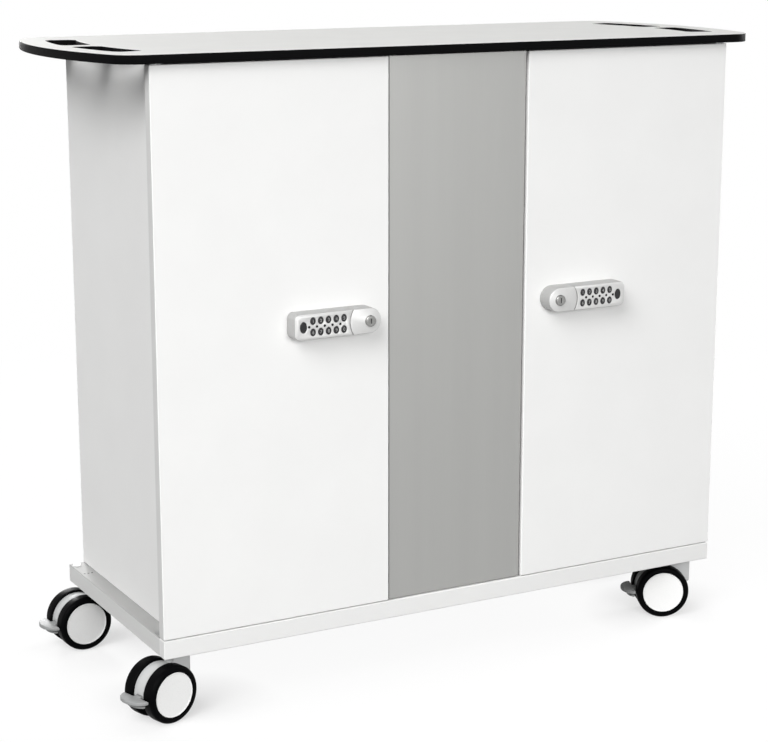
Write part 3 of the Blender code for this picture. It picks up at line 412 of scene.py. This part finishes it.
def addDome(bm, centre, size, back, front, form):
    # An upright oval peg towards -Y, whose front swells by dome and narrows towards its middle.
    facets, rings = form["facets"], form["rings"]
    loops = []
    for i in range(rings + 1):
        lift = i / rings * math.pi / 2
        share = 1 - form["narrowing"] * (1 - math.cos(lift))
        y = front + form["dome"] * (1 - math.sin(lift))
        loop = []
        for k in range(facets):
            angle = math.tau * k / facets
            x = centre[0] + size[0] / 2 * share * math.cos(angle)
            loop.append((x, y, centre[1] + size[1] / 2 * share * math.sin(angle)))
        loops.append(loop)
    loops.insert(0, [(x, back, z) for x, _, z in loops[0]])
    made = [[bm.verts.new(point) for point in loop] for loop in loops]
    for near, far in zip(made, made[1:]):
        for k in range(facets):
            bm.faces.new((near[k - 1], near[k], far[k], far[k - 1]))
    bm.faces.new(made[0])
    bm.faces.new(made[-1])


# Keys: domed caps, each with its numeral.
keySizes = {"dome": 0.0011, "narrowing": 0.35, "facets": 32, "rings": 5, "smoothAngle": 50,
            "numeral": 0.0068, "numeralSteps": 3, "inkDepth": 0.0001}


def numeralMesh(digit, sizes):
    # A numeral that reads from the front, its middle at the origin.
    text = bpy.data.curves.new("numeral", "FONT")
    text.body = digit
    text.size = sizes["numeral"]
    text.align_x = "CENTER"
    text.align_y = "CENTER"
    text.extrude = sizes["inkDepth"]
    text.resolution_u = sizes["numeralSteps"]
    mesh = evaluated(helper("numeral", text))
    xs = [vertex.co.x for vertex in mesh.vertices]
    ys = [vertex.co.y for vertex in mesh.vertices]
    middle = Vector(((min(xs) + max(xs)) / 2, (min(ys) + max(ys)) / 2, 0))
    mesh.transform(Matrix.Rotation(math.pi / 2, 4, "X") @ Matrix.Translation(-middle))
    return mesh


def makeKeys(side, sizes):
    for digit in "1234567890":
        node = f"{side}_key_{digit}"
        low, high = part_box(node)
        x, z = (low.x + high.x) / 2, (low.z + high.z) / 2
        front = low.y + sizes["inkDepth"]
        bm = bmesh.new()
        addDome(bm, (x, z), (high.x - low.x, high.z - low.z), high.y, front, sizes)
        bmesh.ops.recalc_face_normals(bm, faces=bm.faces)
        keyFaces = len(bm.faces)
        numeral = numeralMesh(digit, sizes)
        numeral.transform(Matrix.Translation((x, front, z)))
        bm.from_mesh(numeral)
        bm.faces.ensure_lookup_table()
        for face in bm.faces[keyFaces:]:
            face.material_index = 1
        mesh = bpy.data.meshes.new(node + "_cap")
        bm.to_mesh(mesh)
        bm.free()
        smoothed(mesh, sizes["smoothAngle"])
        addPiece(node + "_cap", mesh, [silicone, ink], node, [node])


# Lens: a smoked oval let into the casing's face.
lensSizes = {"column": 0.10745, "width": 0.0111, "height": 0.0166, "depth": 0.0006, "dome": 0.00036,
             "narrowing": 0.35, "facets": 40, "rings": 6, "smoothAngle": 50}


def makeLens(side, sign, axis, sizes):
    bm = bmesh.new()
    centre = (axis.x + sign * sizes["column"], axis.z)
    front = doorFront - casingSizes["faceDepth"]
    addDome(bm, centre, (sizes["width"], sizes["height"]), front + sizes["depth"], front, sizes)
    lens = smoothed(toMesh(bm, "lens"), sizes["smoothAngle"])
    addPiece(f"{side}_lens", lens, [acrylic], f"{side}_door")


# Knob: lacquered grip whose satin walls are painted greyer as painted shade, bare steel spindle and cam,
# plated key barrel whose keyway is painted black as painted shade.
knobSizes = {"rim": 0.0006, "gripBack": 0.0033, "barrelDepth": 0.0035, "keywayFrom": 0.0003,
             "keywayHalf": 0.00095, "forwards": -0.5}


def makeKnob(side, axis, sizes):
    knob = softened(f"{side}_lock_knob", sizes["rim"])
    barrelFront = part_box(f"{side}_lock_knob")[0].y
    for face in knob.polygons:
        depth = face.center.y - barrelFront
        if face.center.y > doorFront - sizes["gripBack"]:
            face.material_index = 1
        elif depth < sizes["barrelDepth"]:
            # The keyway's walls are painted black, as painted shade.
            inKeyway = depth > sizes["keywayFrom"] and abs(face.center.x - axis.x) < sizes["keywayHalf"]
            face.material_index = 3 if inKeyway else 2
        # The knob's walls are painted greyer as painted shade.
        elif face.normal.y > sizes["forwards"]:
            face.material_index = 4
    addPiece(f"{side}_lock_turner", knob, [lacquer, zinc, nickel, socketNylon, shadedWall], f"{side}_knob",
             [f"{side}_lock_knob"])


for side, sign in sides.items():
    axis = Vector(joints[f"{side}_knob_turn"]["pos_m"])
    casing = softened(f"{side}_lock_body", casingSizes["rim"])
    # The faces that don't face forwards, the walls, are painted greyer as painted shade.
    for face in casing.polygons:  # what faces forwards is lacquered
        face.material_index = int(face.normal.y > casingSizes["forwards"])
    addPiece(f"{side}_lock_casing", casing, [lacquer, shadedWall], f"{side}_door",
             [f"{side}_lock_body"])
    makeKnob(side, axis, knobSizes)
    makeKeys(side, keySizes)
    makeLens(side, sign, axis, lensSizes)
print("locks made")


# Castors: turned wheels with tyres and discs, softened housings and pedals.
castorSizes = {"axleX": -0.032, "radius": 0.0435, "inner": 0.0118, "outer": 0.0326, "axle": 0.005,
               "shoulder": 0.0055, "shoulderSteps": 10, "edge": 0.0025, "edgeSteps": 5, "facets": 96,
               "disc": 0.0338, "discRecess": 0.0012, "rimLine": 0.0022, "grooveWidth": 0.0014,
               "dish": ((0, -0.0004), (0.3, -0.00035), (0.6, -0.0002)),  # shares of the disc, with heights
               "bead": ((0.8, 0.0005), (0.35, 0.0006)),  # shares of rimLine, inwards from the disc's edge
               "groove": ((0.0002, -0.0008), (0.0008, -0.0006)),  # outwards from the disc's edge
               "smoothAngle": 40, "housingRim": 0.0012, "pedalRim": 0.0008}


def wheelProfile(sizes):
    # Half of the wheel pair as (radius, y), from the middle of the disc to the axle.
    face = sizes["outer"] - sizes["discRecess"]
    disc = sizes["disc"]
    half = [(share * disc, face + height) for share, height in sizes["dish"]]
    half += [(disc - sizes["rimLine"], face)]
    half += [(disc - share * sizes["rimLine"], face + height) for share, height in sizes["bead"]]
    half += [(disc, face)]
    half += [(disc + out, face + height) for out, height in sizes["groove"]]
    half += [(disc + sizes["grooveWidth"], sizes["outer"])]
    shoulder = sizes["shoulder"]
    centre = (sizes["radius"] - shoulder, sizes["outer"] - shoulder)
    half += arc(centre, shoulder, 90, 0, sizes["shoulderSteps"])
    edge = sizes["edge"]
    half += arc((sizes["radius"] - edge, sizes["inner"] + edge), edge, 0, -90, sizes["edgeSteps"])
    half += [(disc, sizes["inner"]), (sizes["axle"], sizes["inner"])]
    return half


def makeWheels(corner, place, sizes):
    half = wheelProfile(sizes)
    facets = sizes["facets"]
    turns = [math.tau * k / facets for k in range(facets)]
    bm = bmesh.new()
    rings = []
    for radius, y in half + [(radius, -y) for radius, y in reversed(half)]:
        spots = turns if radius else turns[:1]
        rings.append([bm.verts.new((radius * math.sin(turn), y, radius * math.cos(turn))) for turn in spots])
    for near, far in zip(rings, rings[1:]):
        for k in range(facets):
            loop = [ring[(k + step) % len(ring)] for ring, step in ((near, 0), (near, 1), (far, 1), (far, 0))]
            bm.faces.new(list(dict.fromkeys(loop)))  # at the middle of a disc two corners are one
    for face in bm.faces:
        middle = face.calc_center_median()
        face.material_index = int(math.hypot(middle.x, middle.z) > sizes["disc"])
    mesh = toMesh(bm, f"castor_{corner}_rollers")
    mesh.transform(place @ Matrix.Translation((sizes["axleX"], 0, sizes["radius"])))
    smoothed(mesh, sizes["smoothAngle"])
    addPiece(f"castor_{corner}_rollers", mesh, [discAbs, tyreRubber], f"castor_{corner}_wheel_pair",
             [f"castor_{corner}_wheels"])


for corner in ("front_left", "back_left", "front_right", "back_right"):
    stem = Vector(joints[f"castor_{corner}_swivel_turn"]["pos_m"])
    across = Vector(joints[f"castor_{corner}_roll"]["axis"])
    turn = math.atan2(-across.x, across.y)
    place = Matrix.Translation((stem.x, stem.y, 0)) @ Matrix.Rotation(turn, 4, "Z")
    makeWheels(corner, place, castorSizes)
    hood = softened(f"castor_{corner}_housing", castorSizes["housingRim"])
    addPiece(f"castor_{corner}_hood", hood, [nylon], f"castor_{corner}_swivel",
             [f"castor_{corner}_housing"])
    pedal = softened(f"castor_{corner}_brake_pedal", castorSizes["pedalRim"])
    addPiece(f"castor_{corner}_paddle", pedal, [shadedPedalNylon], f"castor_{corner}_pedal",
             [f"castor_{corner}_brake_pedal"])
print("castors made")


# Screws, dots and caps: one tree for plain studs and one for screw heads, set on points.
treeInputs = {"points": "NodeSocketGeometry", "width": "NodeSocketFloat", "height": "NodeSocketFloat",
              "facing": "NodeSocketRotation", "surface": "NodeSocketMaterial"}
studShape = {"facets": 20, "radius": 0.5}  # shares of the stud's width
# Shares of the head's width or height. The second bar cuts deeper, so that no faces coincide.
screwShape = {"facets": 24, "radius": ("width", 0.5), "crown": ("width", 0.36), "arm": ("width", 0.56),
              "blade": ("width", 0.12), "lift": ("height", 0.8), "deeper": ("height", 1.1), "weld": 2e-6}
facings = {"front": (math.pi / 2, 0, 0), "back": (-math.pi / 2, 0, 0), "up": (0, 0, 0),
           "right": (0, math.pi / 2, 0)}


def startTree(name):
    tree = bpy.data.node_groups.new(name, "GeometryNodeTree")
    for label, kind in treeInputs.items():
        tree.interface.new_socket(label, in_out="INPUT", socket_type=kind)
    tree.interface.new_socket("made", in_out="OUTPUT", socket_type="NodeSocketGeometry")
    return tree, addNode(tree, "NodeGroupInput").outputs


def endTree(tree, shape, given):
    # Puts the shape on every point, turned to face the given way.
    spread = addNode(tree, "GeometryNodeInstanceOnPoints",
                     inputs={"Points": given["points"], "Instance": shape, "Rotation": given["facing"]})
    solid = addNode(tree, "GeometryNodeRealizeInstances", inputs={0: spread.outputs[0]})
    dressed = addNode(tree, "GeometryNodeSetMaterial",
                      inputs={0: solid.outputs[0], "Material": given["surface"]})
    addNode(tree, "NodeGroupOutput", inputs={0: dressed.outputs[0]})
    return tree


def makeStudTree(shape):
    # A plain round stud, for dots, and for holes whose shade is painted as dark discs.
    tree, given = startTree("studs")
    radius = addNode(tree, "ShaderNodeMath", {"operation": "MULTIPLY"},
                     {0: given["width"], 1: shape["radius"]})
    stud = addNode(tree, "GeometryNodeMeshCylinder",
                   inputs={"Vertices": shape["facets"], "Radius": radius.outputs[0],
                           "Depth": given["height"]})
    return endTree(tree, stud.outputs["Mesh"], given)


def makeScrewTree(shape):
    # A low round screw head with a crossed recess.
    tree, given = startTree("screws")
    sizes = {"height": given["height"]}
    for label in ("radius", "crown", "arm", "blade", "lift", "deeper"):
        whole, share = shape[label]
        product = addNode(tree, "ShaderNodeMath", {"operation": "MULTIPLY"}, {0: given[whole], 1: share})
        sizes[label] = product.outputs[0]
    head = addNode(tree, "GeometryNodeMeshCone",
                   inputs={"Vertices": shape["facets"], "Radius Top": sizes["crown"],
                           "Radius Bottom": sizes["radius"], "Depth": sizes["height"]})
    raised = addNode(tree, "ShaderNodeCombineXYZ", inputs={2: sizes["lift"]})
    recess = addNode(tree, "GeometryNodeMeshBoolean", {"operation": "DIFFERENCE"}, {0: head.outputs["Mesh"]})
    for labels in (("arm", "blade", "height"), ("blade", "arm", "deeper")):
        size = addNode(tree, "ShaderNodeCombineXYZ",
                       inputs={i: sizes[label] for i, label in enumerate(labels)})
        bar = addNode(tree, "GeometryNodeMeshCube", inputs={"Size": size.outputs[0]})
        cut = addNode(tree, "GeometryNodeTransform",
                      inputs={0: bar.outputs[0], "Translation": raised.outputs[0]})
        tree.links.new(cut.outputs[0], recess.inputs[1])
    clean = addNode(tree, "GeometryNodeMergeByDistance",
                    inputs={0: recess.outputs[0], "Distance": shape["weld"]})
    return endTree(tree, clean.outputs[0], given)


studTree = makeStudTree(studShape)
screwTree = makeScrewTree(screwShape)


def scatter(name, tree, points, sizes, surface, body):
    mesh = bpy.data.meshes.new(name)
    mesh.from_pydata(points, [], [])
    carrier = helper(name + "Points", mesh)
    modifier = carrier.modifiers.new(name, "NODES")
    modifier.node_group = tree
    values = {"width": sizes["width"], "height": sizes["height"], "facing": facings[sizes["facing"]],
              "surface": surface}
    for item in tree.interface.items_tree:
        if item.in_out == "INPUT" and item.name in values:
            modifier[item.identifier] = values[item.name]
    addPiece(name, smoothed(evaluated(carrier)), [surface], body)


# Screws round the back panel.
backScrews = {"width": 0.008, "height": 0.0016, "facing": "back", "inset": 0.014, "along": 6, "up": 5}
low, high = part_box("back_panel")
inset = backScrews["inset"]
points = []
for i in range(backScrews["along"]):
    x = low.x + inset + (high.x - low.x - 2 * inset) * i / (backScrews["along"] - 1)
    points += [(x, high.y, low.z + inset), (x, high.y, high.z - inset)]
for i in range(1, backScrews["up"] - 1):
    z = low.z + inset + (high.z - low.z - 2 * inset) * i / (backScrews["up"] - 1)
    points += [(low.x + inset, high.y, z), (high.x - inset, high.y, z)]
scatter("back_panel_screws", screwTree, points, backScrews, zinc, "cabinet")

# One sunk screw in each lower pivot plate, its head just below the door.
pivotScrews = {"width": 0.0075, "height": 0.0006, "facing": "up", "fromEnd": 0.009, "under": 0.00072}
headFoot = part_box("left_door")[0].z - pivotScrews["under"]
points = []
for side in sides:
    low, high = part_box(f"{side}_lower_pivot")
    points.append(((low.x + high.x) / 2, high.y - pivotScrews["fromEnd"], headFoot))
scatter("pivot_screws", screwTree, points, pivotScrews, zinc, "cabinet")

# Two screws in the inlet's flange.
inletScrews = {"width": 0.0055, "height": 0.001, "facing": "back", "inset": 0.0048}
low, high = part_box("mains_inlet")
middle = (low.z + high.z) / 2
points = [(low.x + inletScrews["inset"], high.y, middle), (high.x - inletScrews["inset"], high.y, middle)]
scatter("inlet_screws", screwTree, points, inletScrews, zinc, "cabinet")

# Status dots between the two rows of keys, each half a column further from the knob.
statusDots = {"width": 0.004, "height": 0.0004, "facing": "front"}
for side, sign in sides.items():
    columns = sorted({round(sum(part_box(f"{side}_key_{digit}"), Vector()).x / 2, 5) for digit in "12345"})
    step = (columns[1] - columns[0]) / 2
    middle = joints[f"{side}_knob_turn"]["pos_m"][2]
    points = [(x + sign * step, doorFront - casingSizes["faceDepth"], middle) for x in columns]
    scatter(f"{side}_status_dots", studTree, points, statusDots, acrylic, f"{side}_door")

# Two pin holes in the floor of every socket, their shade painted as dark discs.
pinHoles = {"width": 0.005, "height": 0.0006, "facing": "right", "apart": 0.019, "sockets": 6,
            "fromEnd": 0.030, "socketDepth": 0.012}
low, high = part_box("socket_strip")
pitch = (high.z - low.z - 2 * pinHoles["fromEnd"]) / (pinHoles["sockets"] - 1)
points = []
for i in range(pinHoles["sockets"]):
    for aside in (-pinHoles["apart"] / 2, pinHoles["apart"] / 2):
        y = (low.y + high.y) / 2 + aside
        points.append((high.x - pinHoles["socketDepth"], y, low.z + pinHoles["fromEnd"] + i * pitch))
scatter("socket_pin_holes", studTree, points, pinHoles, acrylic, "cabinet")

# Three small holes, their shade painted as dark discs, and a white cap on each ledge of the base.
ledgeHoles = {"width": 0.0032, "height": 0.0004, "facing": "up", "pitch": 0.0062, "x": 0.4755, "y": 0.1425}
ledgeCaps = {"width": 0.015, "height": 0.0022, "facing": "up", "x": 0.4765, "y": 0.190}
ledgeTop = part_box("base_board")[1].z
points = []
for sign in sides.values():
    for i in (-1, 0, 1):
        points.append((sign * ledgeHoles["x"] + i * ledgeHoles["pitch"], ledgeHoles["y"], ledgeTop))
scatter("ledge_holes", studTree, points, ledgeHoles, socketNylon, "cabinet")
points = [(sign * ledgeCaps["x"], ledgeCaps["y"], ledgeTop) for sign in sides.values()]
scatter("ledge_caps", screwTree, points, ledgeCaps, discAbs, "cabinet")
print("screws, dots and caps made")


# Inlet pins: three flat blades on the inlet's floor.
inletPins = {"width": 0.002, "height": 0.004, "length": 0.016, "apart": 0.014, "earthUp": 0.004,
             "floor": 0.004, "rim": 0.0004, "rimSteps": 2, "rimProfile": 0.5}


def makeInletPins(sizes):
    low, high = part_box("mains_inlet")
    y = low.y + sizes["floor"] + sizes["length"] / 2
    shape = Matrix.Diagonal((sizes["width"], sizes["length"], sizes["height"], 1))
    bm = bmesh.new()
    for x, up in ((-sizes["apart"] / 2, -1), (sizes["apart"] / 2, -1), (0, 1)):
        z = (low.z + high.z) / 2 + up * sizes["earthUp"] / 2
        bmesh.ops.create_cube(bm, size=1, matrix=Matrix.Translation((x, y, z)) @ shape)
    bmesh.ops.bevel(bm, geom=bm.edges[:], offset=sizes["rim"], segments=sizes["rimSteps"],
                    affect="EDGES", profile=sizes["rimProfile"])
    addPiece("inlet_pins", smoothed(toMesh(bm, "inletPins")), [nickel], "cabinet")


makeInletPins(inletPins)
print("inlet pins made")


# Studio: white floor and background, a far soft key from the front left and weaker lamps all round.
# The floor looks white by its own glow, less of it within wheelReach of a castor, so that the shadow shows.
studio = {"floorSize": 60, "floor": "7E7E7E", "floorWhite": 0.92, "whiteFrom": 0.8, "whiteAt": 2.2,
          "wheelWhite": 0.55, "wheelReach": (0.04, 0.19), "white": (1, 1, 1, 1), "ambient": 0.04}
lamps = {"key": {"at": (-7.6, -6.6, 8.0), "aim": (-0.3, 0, 0.6), "size": 8.5, "watts": 940},
         "leftEnd": {"at": (-9.5, -2.0, 7.5), "aim": (-0.45, 0, 0.6), "size": 8.0, "watts": 540},
         "front": {"at": (-0.3, -4.8, 1.3), "aim": (-0.8, -3.9, 0.1), "size": 3.0, "watts": 168},
         "above": {"at": (-0.3, 0.8, 3.2), "aim": (0, 0, 0.9), "size": 2.0, "watts": 5},
         "rightEnd": {"at": (4.4, 0.3, 1.3), "aim": (0, 0, 0.5), "size": 1.8, "watts": 120},
         "behind": {"at": (0.3, 4.6, 1.3), "aim": (0, 0, 0.5), "size": 1.2, "watts": 130}}


def seenByCamera(tree):
    # 1 for what the camera sees directly, in a reflection or through glass.
    path = addNode(tree, "ShaderNodeLightPath").outputs
    seen = path["Is Camera Ray"]
    for other in ("Is Glossy Ray", "Is Transmission Ray"):
        seen = addNode(tree, "ShaderNodeMath", {"operation": "MAXIMUM"}, {0: seen, 1: path[other]}).outputs[0]
    return seen


def glowShare(tree, look, stems):
    # How much of the floor's look is its own glow: all of it far away, less near the cabinet and its wheels.
    place = addNode(tree, "ShaderNodeTexCoord").outputs["Object"]
    away = addNode(tree, "ShaderNodeVectorMath", {"operation": "LENGTH"}, {0: place})
    whitening = addNode(tree, "ShaderNodeMapRange",
                        inputs={"Value": away.outputs["Value"], "From Min": look["whiteFrom"],
                                "From Max": look["whiteAt"], "To Min": look["floorWhite"], "To Max": 1.0})
    share = whitening.outputs[0]
    near, far = look["wheelReach"]
    for stem in stems:
        gap = addNode(tree, "ShaderNodeVectorMath", {"operation": "DISTANCE"}, {0: place, 1: stem})
        atWheel = addNode(tree, "ShaderNodeMapRange",
                          inputs={"Value": gap.outputs["Value"], "From Min": near, "From Max": far,
                                  "To Min": look["wheelWhite"], "To Max": 1.0})
        share = addNode(tree, "ShaderNodeMath", {"operation": "MINIMUM"},
                        {0: share, 1: atWheel.outputs[0]}).outputs[0]
    return share


def makeFloor(look, stems):
    bm = bmesh.new()
    bmesh.ops.create_grid(bm, x_segments=1, y_segments=1, size=look["floorSize"] / 2)
    floor = helper("floor", toMesh(bm, "floor"))
    paper = bpy.data.materials.new("paperFloor")  # white to the eye, grey in the light that it throws back
    paper.use_nodes = True
    tree = paper.node_tree
    tree.nodes.clear()
    seen = seenByCamera(tree)
    shade = addNode(tree, "ShaderNodeMix", {"data_type": "RGBA"},
                    {0: seen, 6: linearColour(look["floor"]), 7: look["white"]})
    matt = addNode(tree, "ShaderNodeBsdfDiffuse", inputs={"Color": shade.outputs[2]})
    glow = addNode(tree, "ShaderNodeEmission", inputs={"Color": look["white"], "Strength": 1.0})
    share = addNode(tree, "ShaderNodeMath", {"operation": "MULTIPLY"},
                    {0: glowShare(tree, look, stems), 1: seen})
    mixed = addNode(tree, "ShaderNodeMixShader",
                    inputs={0: share.outputs[0], 1: matt.outputs[0], 2: glow.outputs[0]})
    addNode(tree, "ShaderNodeOutputMaterial", inputs={0: mixed.outputs[0]})
    floor.data.materials.append(paper)


def makeWorld(look):
    world = bpy.data.worlds.new("studio")
    world.use_nodes = True
    tree = world.node_tree
    tree.nodes.clear()
    soft = addNode(tree, "ShaderNodeBackground", inputs={"Color": look["white"], "Strength": look["ambient"]})
    white = addNode(tree, "ShaderNodeBackground", inputs={"Color": look["white"], "Strength": 1.0})
    mixed = addNode(tree, "ShaderNodeMixShader",
                    inputs={0: seenByCamera(tree), 1: soft.outputs[0], 2: white.outputs[0]})
    addNode(tree, "ShaderNodeOutputWorld", inputs={0: mixed.outputs[0]})
    bpy.context.scene.world = world


def makeLamp(name, lamp):
    light = bpy.data.lights.new(name, "AREA")
    light.shape = "DISK"
    light.size = lamp["size"]
    light.energy = lamp["watts"]
    obj = helper(name, light)
    obj.location = lamp["at"]
    obj.rotation_euler = (Vector(lamp["aim"]) - Vector(lamp["at"])).to_track_quat("-Z", "Y").to_euler()


swivels = [joint for name, joint in joints.items() if name.endswith("_swivel_turn")]
makeFloor(studio, [(*joint["pos_m"][:2], 0) for joint in swivels])
makeWorld(studio)
for name, lamp in lamps.items():
    makeLamp(name, lamp)
bpy.context.scene.view_settings.view_transform = "Standard"


# Camera: a little above the worktop, to the left of the front.
cameraPlace = {"at": (-1.4912, -2.709, 1.1438), "tilt": math.pi / 2 - 0.22665, "turn": -0.4979, "lens": 92.75,
               "sensor": 36}


def makeCamera(place):
    data = bpy.data.cameras.new("camera")
    data.sensor_width = place["sensor"]
    data.lens = place["lens"]
    camera = helper("camera", data)
    camera.location = place["at"]
    camera.rotation_euler = (place["tilt"], 0, place["turn"])
    bpy.context.scene.camera = camera


makeCamera(cameraPlace)
print("studio and camera set")
